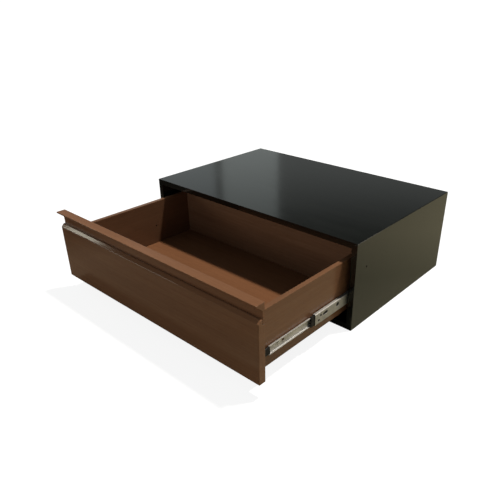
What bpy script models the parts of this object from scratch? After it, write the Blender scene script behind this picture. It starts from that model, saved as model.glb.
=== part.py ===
"""Under-desk drawer: a mitred case, a drawer with a wedge handle rail, and two full-extension slides.

Metres, +Z up. The origin is the middle of the case's underside.
The drawer opens towards -Y and stands part open.
"""

import math

import bmesh
import bpy
from mathutils import Matrix, Vector

MM = 0.001

# Clearances
GAP = 0.3 * MM  # between touching pieces
MITRE_GAP = 0.4 * MM  # along Z, between two mitred boards

# Case
CASE_WIDTH = 700 * MM
CASE_DEPTH = 450 * MM
CASE_HEIGHT = 230 * MM
BOARD = 15 * MM
BACK_THICKNESS = 9 * MM
BACK_SEAT = 8 * MM  # how far the back reaches over each board
SPLINE_WIDTH = 10 * MM
SPLINE_THICKNESS = 3 * MM
SPLINE_INSET = 9 * MM  # from both outer faces to the spline's middle
SPLINE_LENGTH = 380 * MM
BACK_SCREW_SPACING = 240 * MM
BACK_SCREW_LENGTH = 22 * MM

# Drawer
PULL = 305 * MM  # how far the drawer stands open
CLOSED_GAP = 1 * MM  # between the closed front and the case
FRONT_THICKNESS = 18 * MM
FRONT_BOTTOM = 38 * MM
FRONT_TOP = 188 * MM
FRONT_CHAMFER = 7 * MM
RAIL_TOP = 223.7 * MM
RAIL_OVERHANG = 5.6 * MM
RAIL_WEB = 6.5 * MM
RAIL_LAP = 12 * MM  # how far the rail reaches down behind the front
LIP_EDGE = 3 * MM
GROOVE_RADIUS = 6 * MM
GROOVE_CENTRE = 20 * MM  # below the rail's top
GROOVE_ANGLE = 55  # degrees that the round turns before it runs straight to the lip
SIDE_THICKNESS = 12 * MM
SIDE_BOTTOM = 42 * MM
SIDE_TOP = 181 * MM
SIDE_LENGTH = 400 * MM
BACK_INSET = 12 * MM  # from the sides' rear ends to the drawer's back
BOTTOM_THICKNESS = 6 * MM
BOTTOM_UNDERSIDE = 48 * MM
BOTTOM_GROOVE = 5 * MM
BOTTOM_POCKET = 4 * MM  # how far the bottom reaches into the front
DOWEL_RADIUS = 3 * MM
DOWEL_LENGTH = 24 * MM
DOWEL_IN_FRONT = 10 * MM
DOWEL_CHAMFER = 1 * MM
DOWEL_HEIGHTS = (65 * MM, 160 * MM)
RAIL_SCREW_SPACING = 220 * MM
RAIL_SCREW_LENGTH = 14 * MM
SIDE_SCREW_HEIGHTS = (120 * MM, 165 * MM)
SIDE_SCREW_LENGTH = 30 * MM

# Slides: distances from the case's inner wall, heights from the slide's middle line
SLIDE_THICKNESS = 12.7 * MM
SLIDE_HEIGHT = 82.5 * MM  # of the middle line above the case's underside
STEEL = 1.2 * MM
CABINET_HALF = 17.65 * MM
CABINET_START = 20 * MM
CABINET_LENGTH = 391 * MM
CABINET_WEB = 0.3 * MM
CABINET_REACH = 10.7 * MM
CABINET_LIP = 14.7 * MM
INTERMEDIATE_HALF = 14.3 * MM
INTERMEDIATE_START = 30.5 * MM
INTERMEDIATE_LENGTH = 362 * MM
INTERMEDIATE_WEB = 2.9 * MM
INTERMEDIATE_REACH = 11.3 * MM
INTERMEDIATE_LIP = 11.4 * MM
DRAWER_MEMBER_HALF = 11 * MM
DRAWER_MEMBER_START = 34 * MM
DRAWER_MEMBER_LENGTH = 368 * MM
DRAWER_MEMBER_WEB = 11.2 * MM
DRAWER_MEMBER_REACH = 5.8 * MM
BALL_SHIFT = 1 * MM  # from the middle of a cage's flange towards the drawer
CAGE_STRIP = 0.6 * MM
CAGE_FLANGE = 0.8 * MM
BALL_RADIUS = 0.8 * MM
BALLS_PER_ROW = 5
OUTER_CAGE = {"start": 105 * MM, "length": 185 * MM, "web": 1.9 * MM, "reach": 8.9 * MM, "half": 15.8 * MM}
INNER_CAGE = {"start": 136 * MM, "length": 164 * MM, "web": 4.6 * MM, "reach": 9.8 * MM, "half": 12.45 * MM}
END_STOP_AHEAD = 13 * MM  # of the intermediate member's end
END_STOP_INSIDE = 5 * MM
END_STOP_WEB = (4.4 * MM, 5.5 * MM)
END_STOP_REACH = 9.8 * MM
END_STOP_HALF = 12.8 * MM
END_STOP_OPENING = 11.3 * MM
FRONT_BUMPER = (18 * MM, 38 * MM)
FRONT_BUMPER_REACH = 6.2 * MM
REAR_BUMPER_LENGTH = 7 * MM
REAR_BUMPER_REACH = 9 * MM
LEVER_PIVOT = 232 * MM
LEVER_LENGTH = 45 * MM
LEVER_BOSS = 4 * MM
LEVER_TIP = 2.5 * MM
LEVER_REACH = 6.6 * MM
PIN_RADIUS = 1.6 * MM
CABINET_SCREWS = (60 * MM, 340 * MM)
CABINET_SCREW_LENGTH = 12.5 * MM
DRAWER_MEMBER_SCREWS = (68 * MM, 370 * MM)
DRAWER_MEMBER_SCREW_LENGTH = 11 * MM  # below the head

# Holes in the slide members: place, height, radius and length of slot. The intermediate member's places are
# measured from its front end, and the others from the case's front plane with the drawer closed.
CABINET_HOLE = (84 * MM, 0, 2.2 * MM, 8 * MM)
INTERMEDIATE_HOLES = (
    (13 * MM, -5 * MM, 3.2 * MM, 0),
    (20 * MM, 5 * MM, 3.2 * MM, 0),
    (37 * MM, 4 * MM, 4.2 * MM, 9 * MM),
    (84 * MM, 4 * MM, 5.5 * MM, 0),
)
SPARE_HOLE = (82.5 * MM, 1 * MM, 3.6 * MM, 0)

# Share of the drawer's travel that each moving set makes
DRAWER, INNER_BALLS, INTERMEDIATE, OUTER_BALLS, CASE = 1.0, 0.75, 0.5, 0.25, 0.0

# Screws
SHANK_RADIUS = 1.5 * MM
HEAD_RADIUS = 3 * MM
HEAD_HEIGHT = 1.8 * MM
PAN_HEAD_HEIGHT = 1.2 * MM
FLUSH_HEAD_HEIGHT = 1 * MM
SCREW_SEGMENTS = 12

COLOURS = {
    "black_paint": ((0.012, 0.013, 0.012), 0.32, 0.0),
    "walnut_board": ((0.075, 0.036, 0.020), 0.5, 0.0),
    "zinc_steel": ((0.50, 0.48, 0.44), 0.35, 1.0),
    "black_plastic": ((0.02, 0.02, 0.02), 0.45, 0.0),
    "rubber": ((0.015, 0.015, 0.015), 0.8, 0.0),
    "beech": ((0.55, 0.38, 0.22), 0.7, 0.0),
    "brown_board": ((0.16, 0.10, 0.06), 0.7, 0.0),
}

FRONT_PLANE = -CASE_DEPTH / 2
INNER_WALL = CASE_WIDTH / 2 - BOARD
SIDE_OUTER = INNER_WALL - SLIDE_THICKNESS
SIDE_INNER = SIDE_OUTER - SIDE_THICKNESS


def clear_scene():
    for obj in list(bpy.data.objects):
        bpy.data.objects.remove(obj)


def make_material(name):
    colour, roughness, metallic = COLOURS[name]
    material = bpy.data.materials.new(name)
    material.use_nodes = True
    shader = material.node_tree.nodes["Principled BSDF"]
    shader.inputs["Base Color"].default_value = (*colour, 1.0)
    shader.inputs["Roughness"].default_value = roughness
    shader.inputs["Metallic"].default_value = metallic
    return material


def depth(behind_front, share=CASE):
    """World Y of a place this far behind the case's front plane when closed, on a set with this share."""
    return FRONT_PLANE + behind_front - share * PULL


def new_object(name, mesh_data, material=None, smooth=False):
    """An object from a bmesh in world coordinates, with its origin moved to its own middle."""
    bmesh.ops.remove_doubles(mesh_data, verts=mesh_data.verts, dist=1e-7)
    bmesh.ops.recalc_face_normals(mesh_data, faces=mesh_data.faces)
    mesh = bpy.data.meshes.new(name)
    mesh_data.to_mesh(mesh)
    mesh_data.free()
    if smooth:
        mesh.shade_smooth()
        mesh.set_sharp_from_angle(angle=math.radians(35))
    obj = bpy.data.objects.new(name, mesh)
    bpy.context.scene.collection.objects.link(obj)
    if material:
        mesh.materials.append(bpy.data.materials[material])
    corners = [Vector(corner) for corner in obj.bound_box]
    set_origin(obj, sum(corners, Vector()) / len(corners))
    return obj


def set_origin(obj, place):
    """Moves the object's origin to this world place, and leaves its shape where it is."""
    shift = Vector(place) - obj.location
    obj.data.transform(Matrix.Translation(-shift))
    obj.location = place


def prism(outline, start, end, place):
    """A bmesh of an outline of (a, b) points run from start to end, where place(a, b, s) gives the point."""
    mesh_data = bmesh.new()
    rings = [[mesh_data.verts.new(place(a, b, s)) for a, b in outline] for s in (start, end)]
    mesh_data.faces.new(rings[0])
    mesh_data.faces.new(rings[1])
    for i, vertex in enumerate(rings[0]):
        j = (i + 1) % len(outline)
        mesh_data.faces.new((vertex, rings[0][j], rings[1][j], rings[1][i]))
    return mesh_data


def box(low, high):
    corners = ((low[0], low[1]), (high[0], low[1]), (high[0], high[1]), (low[0], high[1]))
    return prism(corners, low[2], high[2], lambda a, b, s: (a, b, s))


def turned(profile, start, axis, segments=SCREW_SEGMENTS):
    """A bmesh of a profile of (radius, distance) points turned round an axis that starts at a point."""
    turn = Vector((0, 0, 1)).rotation_difference(Vector(axis)).to_matrix()
    mesh_data = bmesh.new()
    rings = []
    for radius, distance in profile:
        if radius == 0:
            rings.append([mesh_data.verts.new(Vector(start) + turn @ Vector((0, 0, distance)))])
            continue
        ring = []
        for i in range(segments):
            angle = 2 * math.pi * (i + 0.5) / segments
            offset = Vector((radius * math.cos(angle), radius * math.sin(angle), distance))
            ring.append(mesh_data.verts.new(Vector(start) + turn @ offset))
        rings.append(ring)
    for near, far in zip(rings, rings[1:]):
        for i in range(segments):
            j = (i + 1) % segments
            corners = [near[i % len(near)], near[j % len(near)], far[j % len(far)], far[i % len(far)]]
            mesh_data.faces.new(list(dict.fromkeys(corners)))
    return mesh_data


def cylinder(start, axis, radius, length, segments=SCREW_SEGMENTS):
    return turned(((0, 0), (radius, 0), (radius, length), (0, length)), start, axis, segments)


def combine(obj, helper_mesh, operation="DIFFERENCE"):
    """Cuts a helper shape from the object, or joins it on."""
    helper = new_object(f"{obj.name}_helper_{len(obj.modifiers)}", helper_mesh)
    helper.hide_render = True
    helper.display_type = "WIRE"
    modifier = obj.modifiers.new("shape", "BOOLEAN")
    modifier.operation = operation
    modifier.solver = "EXACT"
    modifier.object = helper
    helpers.append((helper, obj))


def attach(obj, carrier):
    obj.parent = carrier
    obj.location -= carrier.location


def make_carrier(name, share):
    """An empty that a moving set hangs from, at the place its share of the travel gives it."""
    empty = bpy.data.objects.new(name, None)
    empty.location = (0, depth(0, share), 0)
    bpy.context.scene.collection.objects.link(empty)
    return empty


# ---------------------------------------------------------------- fasteners


def countersunk_screw(name, head, axis, length, seats):
    """A screw whose flat head is at a point, and its hole and head seat in each piece of seats."""
    profile = (
        (0, 0),
        (HEAD_RADIUS, 0),
        (SHANK_RADIUS, HEAD_HEIGHT),
        (SHANK_RADIUS, length - 2 * SHANK_RADIUS),
        (0, length),
    )
    hole = (
        (0, -GAP),
        (HEAD_RADIUS + 2 * GAP, -GAP),
        (HEAD_RADIUS + 2 * GAP, 0),
        (SHANK_RADIUS + GAP, HEAD_HEIGHT + GAP),
        (SHANK_RADIUS + GAP, length + GAP),
        (0, length + GAP),
    )
    for piece in seats:
        combine(piece, turned(hole, head, axis))
    return new_object(name, turned(profile, head, axis), "zinc_steel", smooth=True)


def flat_screw(name, head, axis, head_height, length, holes):
    """A screw with a thin flat head that stands on a face, and its holes, each a piece and a radius."""
    profile = (
        (0, 0),
        (HEAD_RADIUS, 0),
        (HEAD_RADIUS, head_height),
        (SHANK_RADIUS, head_height),
        (SHANK_RADIUS, length - 2 * SHANK_RADIUS),
        (0, length),
    )
    for piece, radius in holes:
        start = Vector(head) - Vector(axis) * GAP
        combine(piece, cylinder(start, axis, radius + GAP, length + 2 * GAP))
    return new_object(name, turned(profile, head, axis), "zinc_steel", smooth=True)


# --------------------------------------------------------------------- case


def mitred_board(name, half_length, place):
    """A case board with 45 degree ends and a rebate for the back. place(inward, y, along) gives a point."""
    rebate = CASE_DEPTH / 2 - BACK_THICKNESS - GAP
    land = BOARD - BACK_SEAT
    outline = (
        (0, FRONT_PLANE),
        (BOARD, FRONT_PLANE),
        (BOARD, rebate),
        (land, rebate),
        (land, CASE_DEPTH / 2),
        (0, CASE_DEPTH / 2),
    )
    board = prism(outline, -1, 1, lambda inward, y, end: place(inward, y, end * (half_length - inward)))
    return new_object(name, board, "black_paint")


def spline_shape(corner_x, corner_z, extra):
    """A strip across the mitre at one corner, made larger all round by extra."""
    across = Vector((1, 0, -1 if corner_x * corner_z > 0 else 1)).normalized()
    along = Vector((across.z, 0, -across.x))
    middle = Vector(
        (
            corner_x * (CASE_WIDTH / 2 - SPLINE_INSET),
            0,
            CASE_HEIGHT / 2 + corner_z * (CASE_HEIGHT / 2 - SPLINE_INSET),
        )
    )
    half_width = SPLINE_WIDTH / 2 + extra
    half_thickness = SPLINE_THICKNESS / 2 + extra
    half_length = SPLINE_LENGTH / 2 + extra
    corners = (
        (-half_width, -half_thickness),
        (half_width, -half_thickness),
        (half_width, half_thickness),
        (-half_width, half_thickness),
    )

    def place(a, b, s):
        return middle + across * a + along * b + Vector((0, s, 0))

    return prism(corners, -half_length, half_length, place)


def make_case():
    half_width = CASE_WIDTH / 2
    middle = CASE_HEIGHT / 2
    boards = {
        "top": mitred_board("case_top", half_width, lambda n, y, s: (s, y, CASE_HEIGHT - n)),
        "bottom": mitred_board("case_bottom", half_width, lambda n, y, s: (s, y, n)),
    }
    for sign, side in ((1, "right"), (-1, "left")):
        boards[side] = mitred_board(
            f"case_{side}_side",
            middle - MITRE_GAP,
            lambda n, y, s, sign=sign: (sign * (half_width - n), y, middle + s),
        )
    for corner_x, side in ((1, "right"), (-1, "left")):
        for corner_z, level in ((1, "top"), (-1, "bottom")):
            for board in (boards[level], boards[side]):
                combine(board, spline_shape(corner_x, corner_z, GAP))
            new_object(f"mitre_spline_{level}_{side}", spline_shape(corner_x, corner_z, 0), "beech")
    make_case_back(boards)
    return boards


def make_case_back(boards):
    edge = BOARD - BACK_SEAT + GAP
    rear = CASE_DEPTH / 2
    low = (edge - CASE_WIDTH / 2, rear - BACK_THICKNESS, edge)
    high = (CASE_WIDTH / 2 - edge, rear, CASE_HEIGHT - edge)
    back = new_object("case_back", box(low, high), "brown_board")
    inset = BOARD - BACK_SEAT / 2
    for level, height in (("top", CASE_HEIGHT - inset), ("bottom", inset)):
        for number in range(3):
            place = ((number - 1) * BACK_SCREW_SPACING, rear, height)
            name = f"case_back_screw_{level}_{number + 1}"
            countersunk_screw(name, place, (0, -1, 0), BACK_SCREW_LENGTH, (back, boards[level]))


# ------------------------------------------------------------------- drawer


def make_drawer(carrier):
    face = depth(-CLOSED_GAP - FRONT_THICKNESS, DRAWER)
    front_rear = face + FRONT_THICKNESS
    rear_end = depth(-CLOSED_GAP, DRAWER) + SIDE_LENGTH
    front = make_front(face)
    rail = make_handle_rail(face)
    sides = {
        "right": make_side("right", 1, front_rear + GAP, rear_end),
        "left": make_side("left", -1, front_rear + GAP, rear_end),
    }
    back = make_drawer_back(rear_end - BACK_INSET)
    bottom = make_drawer_bottom(front, front_rear, rear_end - BACK_INSET)
    pieces = [front, rail, back, bottom, *sides.values()]
    for sign, side in ((1, "right"), (-1, "left")):
        for level, height in zip(("lower", "upper"), DOWEL_HEIGHTS):
            start = (sign * (SIDE_OUTER - SIDE_THICKNESS / 2), front_rear - DOWEL_IN_FRONT, height)
            pieces.append(make_dowel(f"front_dowel_{side}_{level}", start, (front, sides[side])))
    for number in range(3):
        name = f"rail_screw_{number + 1}"
        head = ((number - 1) * RAIL_SCREW_SPACING, front_rear, FRONT_TOP - RAIL_LAP / 2)
        pieces.append(countersunk_screw(name, head, (0, -1, 0), RAIL_SCREW_LENGTH, (rail, front)))
    for sign, side in ((1, "right"), (-1, "left")):
        for level, height in zip(("lower", "upper"), SIDE_SCREW_HEIGHTS):
            name = f"drawer_back_screw_{side}_{level}"
            head = (sign * SIDE_OUTER, back.location.y, height)
            seats = (sides[side], back)
            pieces.append(countersunk_screw(name, head, (-sign, 0, 0), SIDE_SCREW_LENGTH, seats))
    for piece in pieces:
        attach(piece, carrier)
    return sides


def make_front(face):
    """The lower panel, with a chamfered top edge and a rebate behind it for the handle rail."""
    lap = FRONT_THICKNESS - RAIL_WEB - GAP
    outline = (
        (0, FRONT_BOTTOM),
        (FRONT_THICKNESS, FRONT_BOTTOM),
        (FRONT_THICKNESS, FRONT_TOP - RAIL_LAP),
        (lap, FRONT_TOP - RAIL_LAP),
        (lap, FRONT_TOP),
        (FRONT_CHAMFER, FRONT_TOP),
        (0, FRONT_TOP - FRONT_CHAMFER),
    )
    half = CASE_WIDTH / 2
    panel = prism(outline, -half, half, lambda u, z, s: (s, face + u, z))
    return new_object("drawer_front", panel, "walnut_board")


def make_handle_rail(face):
    """A wedge lip over a finger groove, on a web that laps behind the front."""
    web_front = FRONT_THICKNESS - RAIL_WEB
    middle = Vector((web_front - GROOVE_RADIUS, RAIL_TOP - GROOVE_CENTRE))
    rounding = []
    for i in range(5):
        angle = math.radians(GROOVE_ANGLE) * i / 4
        rounding.append(middle + GROOVE_RADIUS * Vector((math.cos(angle), math.sin(angle))))
    outline = (
        (FRONT_THICKNESS, FRONT_TOP - RAIL_LAP + GAP),
        (FRONT_THICKNESS, RAIL_TOP),
        (-RAIL_OVERHANG, RAIL_TOP),
        (-RAIL_OVERHANG, RAIL_TOP - LIP_EDGE),
        *reversed(rounding),
        (web_front, FRONT_TOP - RAIL_LAP + GAP),
    )
    half = CASE_WIDTH / 2
    rail = prism(outline, -half, half, lambda u, z, s: (s, face + u, z))
    return new_object("handle_rail", rail, "walnut_board")


def make_side(side, sign, start, end):
    """A drawer side with a groove for the bottom along its inner face."""
    groove_low = BOTTOM_UNDERSIDE - GAP
    groove_high = BOTTOM_UNDERSIDE + BOTTOM_THICKNESS + GAP
    groove_back = SIDE_INNER + BOTTOM_GROOVE + GAP
    outline = (
        (SIDE_OUTER, SIDE_BOTTOM),
        (SIDE_OUTER, SIDE_TOP),
        (SIDE_INNER, SIDE_TOP),
        (SIDE_INNER, groove_high),
        (groove_back, groove_high),
        (groove_back, groove_low),
        (SIDE_INNER, groove_low),
        (SIDE_INNER, SIDE_BOTTOM),
    )
    board = prism(outline, start, end, lambda x, z, y: (sign * x, y, z))
    return new_object(f"drawer_{side}_side", board, "walnut_board")


def make_drawer_back(rear):
    half = SIDE_INNER - GAP
    low = (-half, rear - SIDE_THICKNESS, BOTTOM_UNDERSIDE + BOTTOM_THICKNESS + GAP)
    return new_object("drawer_back", box(low, (half, rear, SIDE_TOP)), "walnut_board")


def make_drawer_bottom(front, front_rear, rear):
    """The bottom panel lies in the grooves of the sides and in a pocket of the front."""
    half = SIDE_INNER + BOTTOM_GROOVE
    low = (-half, front_rear - BOTTOM_POCKET, BOTTOM_UNDERSIDE)
    high = (half, rear, BOTTOM_UNDERSIDE + BOTTOM_THICKNESS)
    grow = Vector((GAP, GAP, GAP))
    combine(front, box(Vector(low) - grow, Vector(high) + grow))
    return new_object("drawer_bottom", box(low, high), "walnut_board")


def make_dowel(name, start, boards):
    """A chamfered dowel along Y from a point, and its hole in each board."""
    axis = Vector((0, 1, 0))
    hole_start = Vector(start) - axis * GAP
    for board in boards:
        combine(board, cylinder(hole_start, axis, DOWEL_RADIUS + GAP, DOWEL_LENGTH + 2 * GAP))
    profile = (
        (0, 0),
        (DOWEL_RADIUS - DOWEL_CHAMFER, 0),
        (DOWEL_RADIUS, DOWEL_CHAMFER),
        (DOWEL_RADIUS, DOWEL_LENGTH - DOWEL_CHAMFER),
        (DOWEL_RADIUS - DOWEL_CHAMFER, DOWEL_LENGTH),
        (0, DOWEL_LENGTH),
    )
    return new_object(name, turned(profile, start, axis), "beech", smooth=True)


# ------------------------------------------------------------------- slides


def channel(web, reach, half, lip=None):
    """The outline of a C channel of thin steel: web at one depth, flanges to reach, lips in to a height."""
    step = STEEL if reach > web else -STEEL
    inner = half - STEEL
    upper = [(web, half), (reach, half)]
    if lip is not None:
        upper += [(reach, lip), (reach - step, lip), (reach - step, inner)]
    else:
        upper += [(reach, inner)]
    upper += [(web + step, inner)]
    lower = [(d, -h) for d, h in reversed(upper)]
    return upper + lower


def slide_piece(name, side, outline, start, length, share, material):
    """An outline of (depth from the wall, height from the middle line) run along the slide."""

    def place(d, h, s):
        return slide_point(side, d, start + s, h, share)

    return new_object(f"{name}_{side}", prism(outline, 0, length, place), material)


def slide_point(side, d, behind_front, h, share):
    sign = 1 if side == "right" else -1
    return Vector((sign * (INNER_WALL - d), depth(behind_front, share), SLIDE_HEIGHT + h))


def outward(side):
    return Vector((1 if side == "right" else -1, 0, 0))


def drill(member, side, web, share, behind_front, h, radius, slot):
    """A round hole through a member's web, or a slot with round ends."""
    outline = []
    for i in range(SCREW_SEGMENTS):
        angle = 2 * math.pi * (i + 0.5) / SCREW_SEGMENTS
        end = math.copysign(slot / 2, math.cos(angle))
        outline.append((behind_front + end + radius * math.cos(angle), h + radius * math.sin(angle)))
    margin = STEEL / 2

    def place_point(a, b, d):
        return slide_point(side, d, a, b, share)

    combine(member, prism(outline, web - margin, web + STEEL + margin, place_point))


def make_cabinet_member(side, wall_board):
    outline = channel(CABINET_WEB, CABINET_REACH, CABINET_HALF, CABINET_LIP)
    member = slide_piece("cabinet_member", side, outline, CABINET_START, CABINET_LENGTH, CASE, "zinc_steel")
    for number, place in enumerate(CABINET_SCREWS):
        head = slide_point(side, CABINET_WEB + STEEL, place, 0, CASE)
        holes = ((member, HEAD_RADIUS), (wall_board, SHANK_RADIUS))
        name = f"cabinet_screw_{side}_{number + 1}"
        flat_screw(name, head, outward(side), FLUSH_HEAD_HEIGHT, CABINET_SCREW_LENGTH, holes)
    drill(member, side, CABINET_WEB, CASE, *CABINET_HOLE)
    bumper_start = CABINET_START + CABINET_LENGTH - REAR_BUMPER_LENGTH - GAP
    web_face = CABINET_WEB + STEEL + GAP
    half = CABINET_HALF - STEEL - GAP
    outline = ((web_face, -half), (REAR_BUMPER_REACH, -half), (REAR_BUMPER_REACH, half), (web_face, half))
    slide_piece("rear_bumper", side, outline, bumper_start, REAR_BUMPER_LENGTH, CASE, "rubber")


def make_intermediate(side, carrier):
    outline = channel(INTERMEDIATE_WEB, INTERMEDIATE_REACH, INTERMEDIATE_HALF, INTERMEDIATE_LIP)
    start, length, share = INTERMEDIATE_START, INTERMEDIATE_LENGTH, INTERMEDIATE
    member = slide_piece("intermediate_member", side, outline, start, length, share, "zinc_steel")
    for place, *hole in INTERMEDIATE_HOLES:
        drill(member, side, INTERMEDIATE_WEB, share, start + place, *hole)
    attach(member, carrier)
    low, high = END_STOP_WEB
    outline = (
        (low, END_STOP_HALF),
        (END_STOP_REACH, END_STOP_HALF),
        (END_STOP_REACH, END_STOP_OPENING),
        (high, END_STOP_OPENING),
        (high, -END_STOP_OPENING),
        (END_STOP_REACH, -END_STOP_OPENING),
        (END_STOP_REACH, -END_STOP_HALF),
        (low, -END_STOP_HALF),
    )
    stop_start = start - END_STOP_AHEAD
    stop_length = END_STOP_AHEAD + END_STOP_INSIDE
    attach(slide_piece("end_stop", side, outline, stop_start, stop_length, share, "black_plastic"), carrier)


def make_cage(name, side, size, share, carrier):
    """A ball cage: a thin C strip with a row of balls in each flange."""
    web, reach, half = size["web"], size["reach"], size["half"]
    outline = [
        (web, half),
        (reach, half),
        (reach, half - CAGE_FLANGE),
        (web + CAGE_STRIP, half - CAGE_FLANGE),
    ]
    outline += [(d, -h) for d, h in reversed(outline)]
    cage = slide_piece(name, side, outline, size["start"], size["length"], share, "zinc_steel")
    balls = bmesh.new()
    for row in (1, -1):
        for number in range(BALLS_PER_ROW):
            along = size["start"] + size["length"] * (number + 0.5) / BALLS_PER_ROW
            height = row * (half - CAGE_FLANGE / 2)
            middle = slide_point(side, (web + reach) / 2 + BALL_SHIFT, along, height, share)
            place = Matrix.Translation(middle)
            bmesh.ops.create_icosphere(balls, subdivisions=1, radius=BALL_RADIUS, matrix=place)
    combine(cage, balls, "UNION")
    attach(cage, carrier)


def make_drawer_member(side, side_board, carrier):
    outline = channel(DRAWER_MEMBER_WEB + STEEL, DRAWER_MEMBER_REACH, DRAWER_MEMBER_HALF)
    start, length = DRAWER_MEMBER_START, DRAWER_MEMBER_LENGTH
    member = slide_piece("drawer_member", side, outline, start, length, DRAWER, "zinc_steel")
    inward = -outward(side)
    for number, place in enumerate(DRAWER_MEMBER_SCREWS):
        head = slide_point(side, DRAWER_MEMBER_WEB - GAP - PAN_HEAD_HEIGHT, place, 0, DRAWER)
        shank = head + inward * PAN_HEAD_HEIGHT
        for piece in (member, side_board):
            combine(piece, cylinder(shank, inward, SHANK_RADIUS + GAP, DRAWER_MEMBER_SCREW_LENGTH))
        name = f"drawer_member_screw_{side}_{number + 1}"
        screw_length = PAN_HEAD_HEIGHT + DRAWER_MEMBER_SCREW_LENGTH - GAP
        attach(flat_screw(name, head, inward, PAN_HEAD_HEIGHT, screw_length, ()), carrier)
    drill(member, side, DRAWER_MEMBER_WEB, DRAWER, *SPARE_HOLE)
    pin_start = slide_point(side, LEVER_REACH, LEVER_PIVOT, 0, DRAWER)
    pin = cylinder(pin_start, inward, PIN_RADIUS, DRAWER_MEMBER_WEB + STEEL / 2 - LEVER_REACH)
    combine(member, pin, "UNION")
    attach(member, carrier)
    half = DRAWER_MEMBER_HALF - STEEL - GAP
    high = DRAWER_MEMBER_WEB - GAP
    outline = ((FRONT_BUMPER_REACH, -half), (high, -half), (high, half), (FRONT_BUMPER_REACH, half))
    start, end = FRONT_BUMPER
    attach(slide_piece("front_bumper", side, outline, start, end - start, DRAWER, "black_plastic"), carrier)


def make_lever(side, carrier):
    """A release lever that turns on the drawer member's pin, with its tip towards the drawer's front."""
    outline = []
    for i in range(9):
        angle = -math.pi / 2 + math.pi * i / 8
        outline.append((LEVER_PIVOT + LEVER_BOSS * math.cos(angle), LEVER_BOSS * math.sin(angle)))
    tip = LEVER_PIVOT - LEVER_LENGTH
    outline += [(tip, LEVER_TIP), (tip, -LEVER_TIP)]

    def place(a, b, d):
        return slide_point(side, d, a, b, DRAWER)

    lever_depth = (LEVER_REACH, DRAWER_MEMBER_WEB - GAP)
    lever = new_object(f"release_lever_{side}", prism(outline, *lever_depth, place), "black_plastic")
    pivot = slide_point(side, sum(lever_depth) / 2, LEVER_PIVOT, 0, DRAWER)
    hole_start = slide_point(side, LEVER_REACH - STEEL, LEVER_PIVOT, 0, DRAWER)
    combine(lever, cylinder(hole_start, -outward(side), PIN_RADIUS + GAP, SLIDE_THICKNESS))
    set_origin(lever, pivot)
    attach(lever, carrier)


def make_slides(case_boards, drawer_sides, carriers):
    for side in ("right", "left"):
        make_cabinet_member(side, case_boards[side])
        make_cage("outer_ball_cage", side, OUTER_CAGE, OUTER_BALLS, carriers["outer_balls"])
        make_intermediate(side, carriers["intermediate"])
        make_cage("inner_ball_cage", side, INNER_CAGE, INNER_BALLS, carriers["inner_balls"])
        make_drawer_member(side, drawer_sides[side], carriers["drawer"])
        make_lever(side, carriers["drawer"])


helpers = []
clear_scene()
for colour_name in COLOURS:
    make_material(colour_name)
carrier_empties = {
    "drawer": make_carrier("drawer_carrier", DRAWER),
    "inner_balls": make_carrier("inner_balls_carrier", INNER_BALLS),
    "intermediate": make_carrier("intermediate_carrier", INTERMEDIATE),
    "outer_balls": make_carrier("outer_balls_carrier", OUTER_BALLS),
}
case_set = make_case()
drawer_set = make_drawer(carrier_empties["drawer"])
make_slides(case_set, drawer_set, carrier_empties)
for helper_object, owner in helpers:
    if owner.parent:
        attach(helper_object, owner.parent)
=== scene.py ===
"""Looks of the under-desk drawer: rounded boards, rolled steel slides, screws, materials, light and camera.

Metres, +Z up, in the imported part's frame. The drawer opens towards -Y.
"""

import math

import bmesh
import bpy
from mathutils import Matrix, Vector


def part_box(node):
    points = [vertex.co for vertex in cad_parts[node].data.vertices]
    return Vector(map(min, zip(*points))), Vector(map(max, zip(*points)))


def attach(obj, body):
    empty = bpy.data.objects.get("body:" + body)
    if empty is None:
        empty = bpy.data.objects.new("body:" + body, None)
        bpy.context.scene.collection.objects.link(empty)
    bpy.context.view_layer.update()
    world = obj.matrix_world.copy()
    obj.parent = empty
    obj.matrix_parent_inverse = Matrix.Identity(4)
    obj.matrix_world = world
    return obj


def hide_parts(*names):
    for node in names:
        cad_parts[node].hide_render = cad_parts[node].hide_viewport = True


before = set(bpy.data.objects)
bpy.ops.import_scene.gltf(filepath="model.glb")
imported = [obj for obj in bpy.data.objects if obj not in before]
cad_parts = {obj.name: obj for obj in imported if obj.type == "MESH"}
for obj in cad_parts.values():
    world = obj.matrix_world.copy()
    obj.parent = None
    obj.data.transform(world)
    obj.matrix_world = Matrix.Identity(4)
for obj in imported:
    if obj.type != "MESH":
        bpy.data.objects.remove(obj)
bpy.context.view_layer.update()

MM = 0.001
SAME_PLACE = 1e-6  # points nearer than this count as one
SIDES = (("right", 1), ("left", -1))
ALONG_X, ALONG_Y = 0, 1

# Camera
CAMERA_PLACE = (0.8989, -1.1362, 0.7230)
CAMERA_AZIMUTH = 41.89
CAMERA_ELEVATION = 28.18
CAMERA_ROLL = -0.40
CAMERA_LENS = 37.85
CAMERA_SHIFT = (-0.0344, 0.0436)

# Floor
FLOOR_REACH = 60
FLOOR_GAP = 0.3 * MM  # between the case's underside and the floor

# Boards
CORNER_ROUND = 1.2 * MM  # outer corners of the case
EDGE_ROUND = 0.7 * MM
FRONT_ROUND = 1.1 * MM
CAD_GAP = 0.3 * MM  # clearance between pieces that fit in one another
MITRE_SHIFT = 0.2 * MM  # gap at each end of the case's side boards
RAIL_WEB = 6.5 * MM
LIP_EDGE = 3 * MM
GROOVE_RADIUS = 6 * MM
GROOVE_CENTRE = 20 * MM  # below the rail's top
FRONT_CHAMFER = 7 * MM
CASE_HOLE = (-0.179, 0.1575)  # Y and Z of the small hole in the case's right side
DRAWER_HOLE = (-0.280, 0.107)  # and of the one inside the drawer's left side
PAST = 1 * MM  # how far a cutter runs beyond the board that it cuts

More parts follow.
